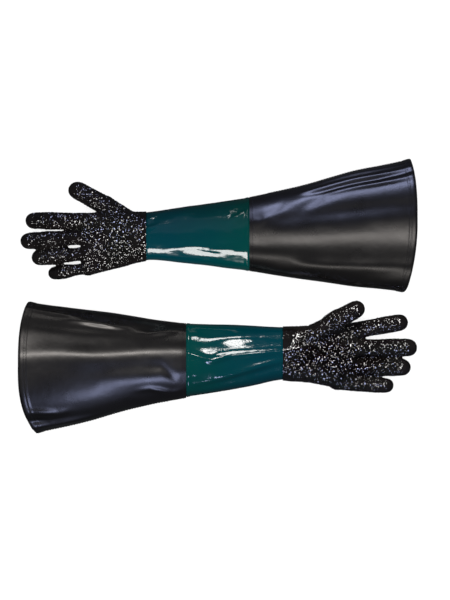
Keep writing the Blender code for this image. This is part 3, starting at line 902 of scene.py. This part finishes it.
def grit_amount(arm, digits, points):
    """Where the grit is: none on the fingertips, and less in the last stretch before the sleeve.
    Glove B has little on the heel at its thumb's side, and on the long ridge there."""
    u, v = arm.along(points[:, 0]) - arm.wrist, points[:, 1] - arm.row
    amount = 0.45 + 0.55 * smoothstep(u, 0.001, 0.016)
    if arm.name == "b":
        from_heel = np.hypot(u / 0.030, (v - 0.036) / 0.020)
        amount *= 0.22 + 0.78 * smoothstep(from_heel, 0.7, 1.15)
        start, end, _, width = HAND_FOLDS["b"][0]
        share = (u - start[0]) / (end[0] - start[0])
        off = np.abs(v - start[1] - share * (end[1] - start[1])) / (width * 1.2)
        amount *= 1 - 0.9 * np.exp(-(off**2)) * (1 - smoothstep(share, 0.7, 1.1))
    for digit in digits.values():
        back = (digit.apex - points) @ digit.tip_way
        off = np.linalg.norm(points - digit.apex + np.outer(back, digit.tip_way), axis=1)
        here = off < digit.radius * 1.5
        bare = digit.radius * SMOOTH_TIP
        amount = np.where(here, amount * smoothstep(back, bare, bare + 0.007), amount)
    return amount


def hand_skin(arm, digits, form, finishes):
    """The coated skin: the form made finer, creased and covered in grit, and open at the wrist."""
    skin = copy_object(form, f"{arm.name}_skin")
    finer = skin.modifiers.new("finer", "SUBSURF")
    finer.levels = finer.render_levels = 1
    apply_modifiers(skin)
    mesh = skin.data
    points, normals = mesh_arrays(mesh)
    points += normals * (COAT_PROUD + hand_creases(arm, digits, points, normals))[:, None]
    salt = HAND_SALT[arm.name]
    amount = grit_amount(arm, digits, points)
    grit = grit_height(points, GRIT_CELL, salt) * amount
    fine = grit_height(points, GRIT_CELL * 0.55, salt + 40) * amount
    size, height = HAND_RUMPLE
    rumple = value_noise(points, size, salt) * height
    rise = GRIT_HEIGHT * grit + GRIT_HEIGHT * 0.2 * fine + rumple
    points += normals * rise[:, None]
    points[:, 2] = np.maximum(points[:, 2], COAT_CLEARANCE)
    mesh.vertices.foreach_set("co", points.ravel())
    layer = mesh.attributes.new("grit", "FLOAT", "POINT")
    layer.data.foreach_set("value", amount.astype(np.float32))
    cut_mesh(skin, [(arm.point(arm.wrist), (-arm.reach, 0, 0), True, False)])
    mesh.materials.clear()
    mesh.materials.append(finishes["coat"])
    mesh.shade_smooth()
    return skin


def face_centres(mesh):
    centres = np.zeros(len(mesh.polygons) * 3)
    mesh.polygons.foreach_get("center", centres)
    return centres.reshape(-1, 3)


KNUCKLE_BACK = 0.004  # each finger's own skin starts this far behind its knuckle
THUMB_BACK = 0.010
FINGER_GAP = 0.00003  # from each wall between two fingers to the plane midway
FINGER_WALL_UP = (0.0, 0.14, 1.0)  # the walls lean a little, as the fingers lie over each other


def knuckle_plane(digit):
    back = THUMB_BACK if digit.name == "thumb" else KNUCKLE_BACK
    return digit.root - digit.base_way * back, digit.base_way


def finger_planes(digits):
    """Planes midway between neighbouring fingers, facing from the first to the second."""
    planes = {}
    for one, two in zip(FINGERS, FINGERS[1:]):
        first, second = digits[one], digits[two]
        start = (first.root + second.root) / 2
        end = (first.apex + second.apex) / 2
        normal = unit(np.cross(end - start, FINGER_WALL_UP))
        if normal @ (second.root - first.root) < 0:
            normal = -normal
        planes[one, two] = (start, normal)
    return planes


def side_of(points, plane):
    return (points - plane[0]) @ plane[1]


def distance_off(points, digit):
    """From the line of the digit's base, or from its knuckle for what lies behind that."""
    run = np.clip((points - digit.root) @ digit.base_way, 0, None)
    return np.linalg.norm(points - digit.root - np.outer(run, digit.base_way), axis=1)


def sort_faces(arm, digits, planes, centres):
    """The part of the hand that each face belongs to: wrist, palm, or a digit."""
    names = np.full(len(centres), "palm", dtype=object)
    names[arm.along(centres[:, 0]) < arm.wrist + WRIST_BEND + 0.002] = "wrist"
    thumb = digits["thumb"]
    beside_thumb = distance_off(centres, thumb) < thumb.radius * 1.42
    in_thumb = (side_of(centres, knuckle_plane(thumb)) > 0) & beside_thumb
    for name in FINGERS:
        mine = side_of(centres, knuckle_plane(digits[name])) > 0
        for (one, two), plane in planes.items():
            if name == one:
                mine &= side_of(centres, plane) < 0
            if name == two:
                mine &= side_of(centres, plane) > 0
        names[mine] = name
    names[in_thumb] = "thumb"
    return names


def fill_cut(builder, cut, normal):
    """Closes a cut with flat faces that look along the normal, behind a sharp edge."""
    rim = [e for e in cut if isinstance(e, bmesh.types.BMEdge) and e.is_boundary]
    filled = bmesh.ops.triangle_fill(builder, use_beauty=False, use_dissolve=False, edges=rim)
    for face in filled["geom"]:
        if isinstance(face, bmesh.types.BMFace):
            face.smooth = False
            face.normal_update()
            if face.normal.dot(Vector(normal)) < 0:
                face.normal_flip()
    for edge in rim:
        edge.smooth = False


def cut_mesh(obj, cuts):
    """Cuts obj by planes; each is (point, normal, clear the front, fill the opening)."""
    with edited(obj.data) as builder:
        for point, normal, clear, fill in cuts:
            whole = [*builder.verts, *builder.edges, *builder.faces]
            made = bmesh.ops.bisect_plane(
                builder, geom=whole, plane_co=tuple(point), plane_no=tuple(normal), clear_outer=clear
            )
            if fill:
                fill_cut(builder, made["geom_cut"], normal)


def keep_faces(obj, keep):
    with edited(obj.data) as builder:
        drop = [face for face, kept in zip(builder.faces, keep) if not kept]
        bmesh.ops.delete(builder, geom=drop, context="FACES")


def split_off(source, name, keep):
    """A copy of the source with only the faces in keep."""
    piece = copy_object(source, name)
    keep_faces(piece, keep)
    return piece


def cut_up_hand(arm, digits, skin):
    """Cuts a whole hand skin into lengths where it doesn't bend, and joins the palm to the hand's body.
    """
    g = arm.name
    planes = finger_planes(digits)
    cut_mesh(skin, [(*knuckle_plane(digits[name]), False, False) for name in FINGERS])
    cut_mesh(skin, [(*plane, False, False) for plane in planes.values()])
    names = sort_faces(arm, digits, planes, face_centres(skin.data))
    wrist = split_off(skin, f"{g}_wrist_skin", names == "wrist")
    blend_wrist(arm, wrist)
    palm = split_off(skin, f"{g}_palm_skin", names == "palm")
    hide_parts(f"{g}_palm_coat", f"{g}_palm_liner")
    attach(palm, f"{g}_hand")
    for name, digit in digits.items():
        whole = split_off(skin, f"{g}_{name}", names == name)
        if name in FINGERS:
            close_sides(whole, skin, digit, planes)
        half = (digit.root + digit.middle) / 2
        for end, way in (("base", 1), ("tip", -1)):
            piece = copy_object(whole, f"{g}_{name}_{end}_skin")
            cut_mesh(piece, [(half, digit.base_way * way, True, False)])
            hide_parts(f"{g}_{name}_{end}_coat", f"{g}_{name}_{end}_liner")
            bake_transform(piece)
        bpy.data.objects.remove(whole)
    bpy.data.objects.remove(skin)


def close_sides(whole, skin, digit, planes):
    """Remakes a finger from the whole skin, with a wall where it touches each neighbour."""
    whole.data = skin.data.copy()
    point, normal = knuckle_plane(digit)
    cuts = [(point, -normal, True, False)]
    for (one, two), (point, normal) in planes.items():
        if digit.name == one:
            cuts.append((point - normal * FINGER_GAP, normal, True, True))
        if digit.name == two:
            cuts.append((point + normal * FINGER_GAP, -normal, True, True))
    cut_mesh(whole, cuts)
    keep_faces(whole, distance_off(face_centres(whole.data), digit) <= digit.radius * 2.2)


def build_hand(arm, finishes):
    digits = {name: Digit(arm, name) for name in DIGITS}
    form = hand_form(arm, digits)
    cut_up_hand(arm, digits, hand_skin(arm, digits, form, finishes))
    bpy.data.objects.remove(form)


# Materials


class Nodes:
    """A material's node tree, with short ways to add and join nodes."""

    def __init__(self, name):
        self.material = bpy.data.materials.new(name)
        self.material.use_nodes = True
        self.tree = self.material.node_tree
        self.shader = self.tree.nodes["Principled BSDF"]
        self.place = self.add("TexCoord").outputs["Object"]

    def add(self, kind, inputs=(), **values):
        """A node; each input is a value or another node's socket."""
        node = self.tree.nodes.new("ShaderNode" + kind)
        for key, value in values.items():
            setattr(node, key, value)
        for key, value in dict(inputs).items():
            if isinstance(value, bpy.types.NodeSocket):
                self.tree.links.new(value, node.inputs[key])
            else:
                node.inputs[key].default_value = value
        return node

    def set(self, **values):
        for key, value in values.items():
            self.shader.inputs[key.replace("_", " ")].default_value = value

    def noise(self, size, detail=3.0, roughness=0.5, distortion=0.0):
        inputs = {"Scale": 1 / size, "Detail": detail, "Roughness": roughness, "Distortion": distortion}
        return self.add("TexNoise", {**inputs, "Vector": self.place}).outputs["Fac"]

    def attribute(self, name):
        return self.add("Attribute", attribute_name=name).outputs["Fac"]

    def vector(self, operation, *inputs):
        return self.add("VectorMath", enumerate(inputs), operation=operation).outputs[0]

    def remap(self, source, low, high):
        return self.add("MapRange", {"To Min": low, "To Max": high, "Value": source}).outputs["Result"]

    def colour(self, source, *stops):
        """The surface's colour, run between two stops of the source: (position, red, green, blue)."""
        ramp = self.add("ValToRGB", {"Fac": source})
        for element, (position, *colour) in zip(ramp.color_ramp.elements, stops):
            element.position = position
            element.color = (*colour, 1.0)
        self.tree.links.new(ramp.outputs["Color"], self.shader.inputs["Base Color"])

    def roughness(self, source, low, high):
        self.tree.links.new(self.remap(source, low, high), self.shader.inputs["Roughness"])

    def normal(self, source):
        self.tree.links.new(source, self.shader.inputs["Normal"])

    def bump(self, height, distance, strength):
        inputs = {"Strength": strength, "Distance": distance, "Height": height}
        self.normal(self.add("Bump", inputs).outputs["Normal"])


def vinyl_material():
    n = Nodes("vinyl")
    n.colour(n.noise(0.05, 4.0), (0.3, 0.0065, 0.0060, 0.0068), (0.7, 0.0120, 0.0112, 0.0118))
    n.roughness(n.noise(0.03, 5.0, 0.6), 0.22, 0.36)
    n.bump(n.noise(0.016, 2.0), 0.0005, 0.35)
    n.set(Specular_IOR_Level=0.75)
    return n.material


def backing_material():
    n = Nodes("backing")
    weave = n.add("TexChecker", {"Scale": 1400, "Vector": n.place})
    n.colour(weave.outputs["Fac"], (0.0, 0.060, 0.060, 0.064), (1.0, 0.125, 0.125, 0.130))
    n.bump(n.noise(0.0009, 2.0), 0.0003, 0.7)
    n.set(Roughness=0.9, Sheen_Weight=0.25)
    return n.material


def thread_material():
    n = Nodes("thread")
    n.colour(n.noise(0.0006, 2.0), (0.3, 0.010, 0.010, 0.012), (0.7, 0.035, 0.035, 0.042))
    n.bump(n.noise(0.0004, 1.0), 0.0001, 0.6)
    n.set(Roughness=0.55)
    return n.material


def sleeve_material():
    """Glossy teal PVC, a little bluer towards the wrist."""
    n = Nodes("sleeve_pvc")
    patches = {0: n.noise(0.045, 3.0, 0.5, 0.4), 1: 0.45, 2: n.attribute("along")}
    mix = n.add("Math", patches, operation="MULTIPLY_ADD").outputs[0]
    n.colour(mix, (0.25, 0.0, 0.033, 0.031), (0.95, 0.0, 0.027, 0.038))
    n.roughness(n.noise(0.02, 4.0, 0.6), 0.05, 0.15)
    n.bump(n.noise(0.008, 3.0, 0.6), 0.0006, 0.35)
    n.set(Specular_IOR_Level=0.5)
    return n.material


def coat_material():
    """Glossy black PVC whose grit has flat broken faces, each tilted its own way."""
    n = Nodes("grit_pvc")
    n.colour(n.noise(0.02, 3.0), (0.3, 0.0036, 0.0030, 0.0030), (0.7, 0.0090, 0.0073, 0.0070))
    flakes = n.add("TexVoronoi", {"Scale": 1 / FLAKE, "Vector": n.place}).outputs["Color"]
    patches = n.remap(n.noise(0.016, 2.0), 0.35 * FLAKE_TILT, 1.5 * FLAKE_TILT)
    amount = n.add("Math", {0: n.attribute("grit"), 1: patches}, operation="MULTIPLY").outputs[0]
    random = n.vector("SUBTRACT", flakes, (0.5, 0.5, 0.5))
    tilt = n.add("VectorMath", {0: random, "Scale": amount}, operation="SCALE").outputs[0]
    surface = n.add("NewGeometry").outputs["Normal"]
    n.normal(n.vector("NORMALIZE", n.vector("ADD", surface, tilt)))
    n.roughness(n.noise(0.006, 2.0), 0.03, 0.09)
    n.set(Specular_IOR_Level=0.5)
    return n.material


def liner_material():
    n = Nodes("liner_knit")
    inputs = {"Scale": 160, "Distortion": 1.5, "Vector": n.place}
    rows = n.add("TexWave", inputs, wave_type="BANDS", bands_direction="X").outputs["Fac"]
    n.colour(rows, (0.2, 0.42, 0.40, 0.35), (0.8, 0.66, 0.64, 0.58))
    n.bump(rows, 0.0005, 0.8)
    n.set(Roughness=0.95, Sheen_Weight=0.3)
    return n.material


def floor_material():
    n = Nodes("floor")
    n.colour(n.noise(0.4, 2.0), (0.3, 0.90, 0.90, 0.90), (0.7, 0.92, 0.92, 0.92))
    n.set(Roughness=0.8, Specular_IOR_Level=0.1)
    return n.material


# The studio

CAMERA_LENS = 300.0
SENSOR = 36.0
VIEW_HEIGHT = 0.922  # metres of table that the picture's height takes in
VIEW_MIDDLE = (0.0111, -0.0047)
GLOVE_LEVEL = 0.045
FLOOR_HALF = 3.0
FLOOR_LEVEL = -0.0004
SKY = (0.9, 0.95, 1.0, 1.0)
SKY_STRENGTH = 0.05

# The pieces that each set of lights falls on
PARTS = {"cuff": ("cuff", "hem", "stitches"), "sleeve": ("sleeve",), "hand": ("skin",)}
WARM, NEUTRAL, COOL = (1.0, 0.94, 0.89), (1.0, 0.98, 0.96), (0.58, 0.64, 1.0)
# Name, lean from overhead in degrees, width, length, brightness, colour, shift along the arm, distance;
# a fill isn't seen in reflections
LIGHTS = {
    "cuff": {
        "a": [
            ("cool", 50, 0.22, 0.26, 8.0, COOL, -0.085, 0.6),
            ("broad", 54, 0.40, 0.9, 0.6, COOL, -0.15, 1.4),
            ("over", -8, 0.22, 0.7, 5.6, WARM, -0.10, 1.2),
            ("low", -54, 0.14, 1.2, 4.0, WARM, -0.1, 1.4),
        ],
        "b": [
            ("cool", 34, 0.16, 0.20, 6.5, COOL, -0.035, 0.5),
            ("broad", 56, 0.40, 0.9, 0.3, COOL, -0.15, 1.4),
            ("over", -14, 0.13, 0.7, 17.0, WARM, -0.11, 1.2),
            ("low", -60, 0.10, 1.2, 2.6, WARM, -0.1, 1.4),
        ],
    },
    "sleeve": {
        "a": [
            ("fill", 10, 1.00, 1.0, 5.4, NEUTRAL, 0.0, 1.4),
            ("strip", -52, 0.80, 0.60, 17.0, NEUTRAL, 0.28, 1.4),
            ("low", -84, 0.50, 0.20, 3.0, NEUTRAL, 0.22, 1.4),
            ("wide", 30, 1.20, 1.2, 0.20, COOL, 0.2, 1.4),
            ("glint", 48, 0.12, 0.05, 30.0, NEUTRAL, 0.33, 1.4),
            ("glint", 60, 0.40, 0.06, 12.0, NEUTRAL, 0.19, 1.4),
        ],
        "b": [
            ("fill", 0, 1.00, 1.0, 6.5, NEUTRAL, 0.0, 1.4),
            ("crest", -18, 0.20, 0.60, 28.0, NEUTRAL, 0.26, 1.4),
            ("patch", -55, 0.42, 0.24, 20.0, NEUTRAL, 0.30, 1.4),
            ("cool", 42, 0.16, 0.22, 22.0, COOL, 0.32, 1.4),
            ("cool", 64, 0.16, 0.22, 16.0, COOL, 0.26, 1.4),
        ],
    },
    "hand": {
        "a": [
            ("over", 8, 0.22, 0.34, 42.0, NEUTRAL, 0.2, 1.4),
            ("strip", -48, 0.22, 0.6, 42.0, NEUTRAL, 0.12, 1.4),
            ("cool", 52, 0.22, 0.45, 40.0, COOL, 0.2, 1.4),
        ],
        "b": [
            ("over", -4, 0.20, 0.32, 50.0, NEUTRAL, 0.2, 1.4),
            ("strip", -44, 0.20, 0.6, 50.0, NEUTRAL, 0.12, 1.4),
            ("cool", 44, 0.24, 0.45, 50.0, COOL, 0.2, 1.4),
        ],
    },
}


def build_camera():
    data = bpy.data.cameras.new("camera")
    data.lens = CAMERA_LENS
    data.sensor_width = SENSOR
    data.clip_end = 50
    camera = add_object("camera", data)
    away = VIEW_HEIGHT * CAMERA_LENS / SENSOR
    camera.location = (*VIEW_MIDDLE, GLOVE_LEVEL + away)
    bpy.context.scene.camera = camera


def receivers(name, objects):
    group = bpy.data.collections.new(name)
    for obj in objects:
        group.objects.link(obj)
    return group


def softbox(name, arm, lean, width, length, brightness, colour, shift, distance, group):
    """A rectangular light above one glove, leaning from overhead towards the pair's outside."""
    lean = math.radians(lean) * math.copysign(1, arm.row)
    target = Vector((shift * arm.reach, arm.row, GLOVE_LEVEL))
    data = bpy.data.lights.new(name, "AREA")
    data.shape = "RECTANGLE"
    data.size, data.size_y = length, width
    data.energy = brightness * math.pi * length * width
    data.color = colour
    light = add_object(name, data)
    light.location = target + distance * Vector((0, math.sin(lean), math.cos(lean)))
    light.rotation_euler = (-lean, 0, 0)
    light.visible_glossy = "fill" not in name
    light.light_linking.receiver_collection = group


def sun_light(name, strength, angle, shadow, group):
    data = bpy.data.lights.new(name, "SUN")
    data.energy = strength
    data.angle = math.radians(angle)
    data.use_shadow = shadow
    light = add_object(name, data)
    light.light_linking.receiver_collection = group


def build_studio(arms):
    mesh = bpy.data.meshes.new("floor")
    corners = [(-1, -1), (1, -1), (1, 1), (-1, 1)]
    mesh.from_pydata([(x * FLOOR_HALF, y * FLOOR_HALF, 0) for x, y in corners], [], [range(4)])
    floor = add_object("floor", mesh)
    floor.location.z = FLOOR_LEVEL
    mesh.materials.append(floor_material())
    table = receivers("table", [floor])
    sun_light("table_light", 2.9, 20, False, table)
    sun_light("table_shadow", 0.9, 60, True, table)
    world = bpy.data.worlds.new("world")
    world.use_nodes = True
    background = world.node_tree.nodes["Background"].inputs
    background["Color"].default_value, background["Strength"].default_value = SKY, SKY_STRENGTH
    bpy.context.scene.world = world
    floor.visible_glossy = floor.visible_diffuse = False
    meshes = [o for o in bpy.data.objects if o.type == "MESH"]
    for arm in arms:
        for part, words in PARTS.items():
            mine = [o for o in meshes if o.name.startswith(arm.name + "_")]
            own = [o for o in mine if any(word in o.name for word in words)]
            group = receivers(f"{arm.name}_{part}", own)
            for name, *values in LIGHTS[part][arm.name]:
                softbox(f"{arm.name}_{part}_{name}", arm, *values, group)
    view = bpy.context.scene.view_settings
    view.view_transform = "Standard"
    view.look = "None"


FINISHES = {
    "vinyl": vinyl_material(),
    "backing": backing_material(),
    "thread": thread_material(),
    "sleeve": sleeve_material(),
    "coat": coat_material(),
    "liner": liner_material(),
}
ARMS = [Arm("a", -1), Arm("b", 1)]
for each_arm in ARMS:
    build_cuff(each_arm, FINISHES)
    build_sleeve(each_arm, FINISHES)
    build_hand(each_arm, FINISHES)
build_camera()
build_studio(ARMS)
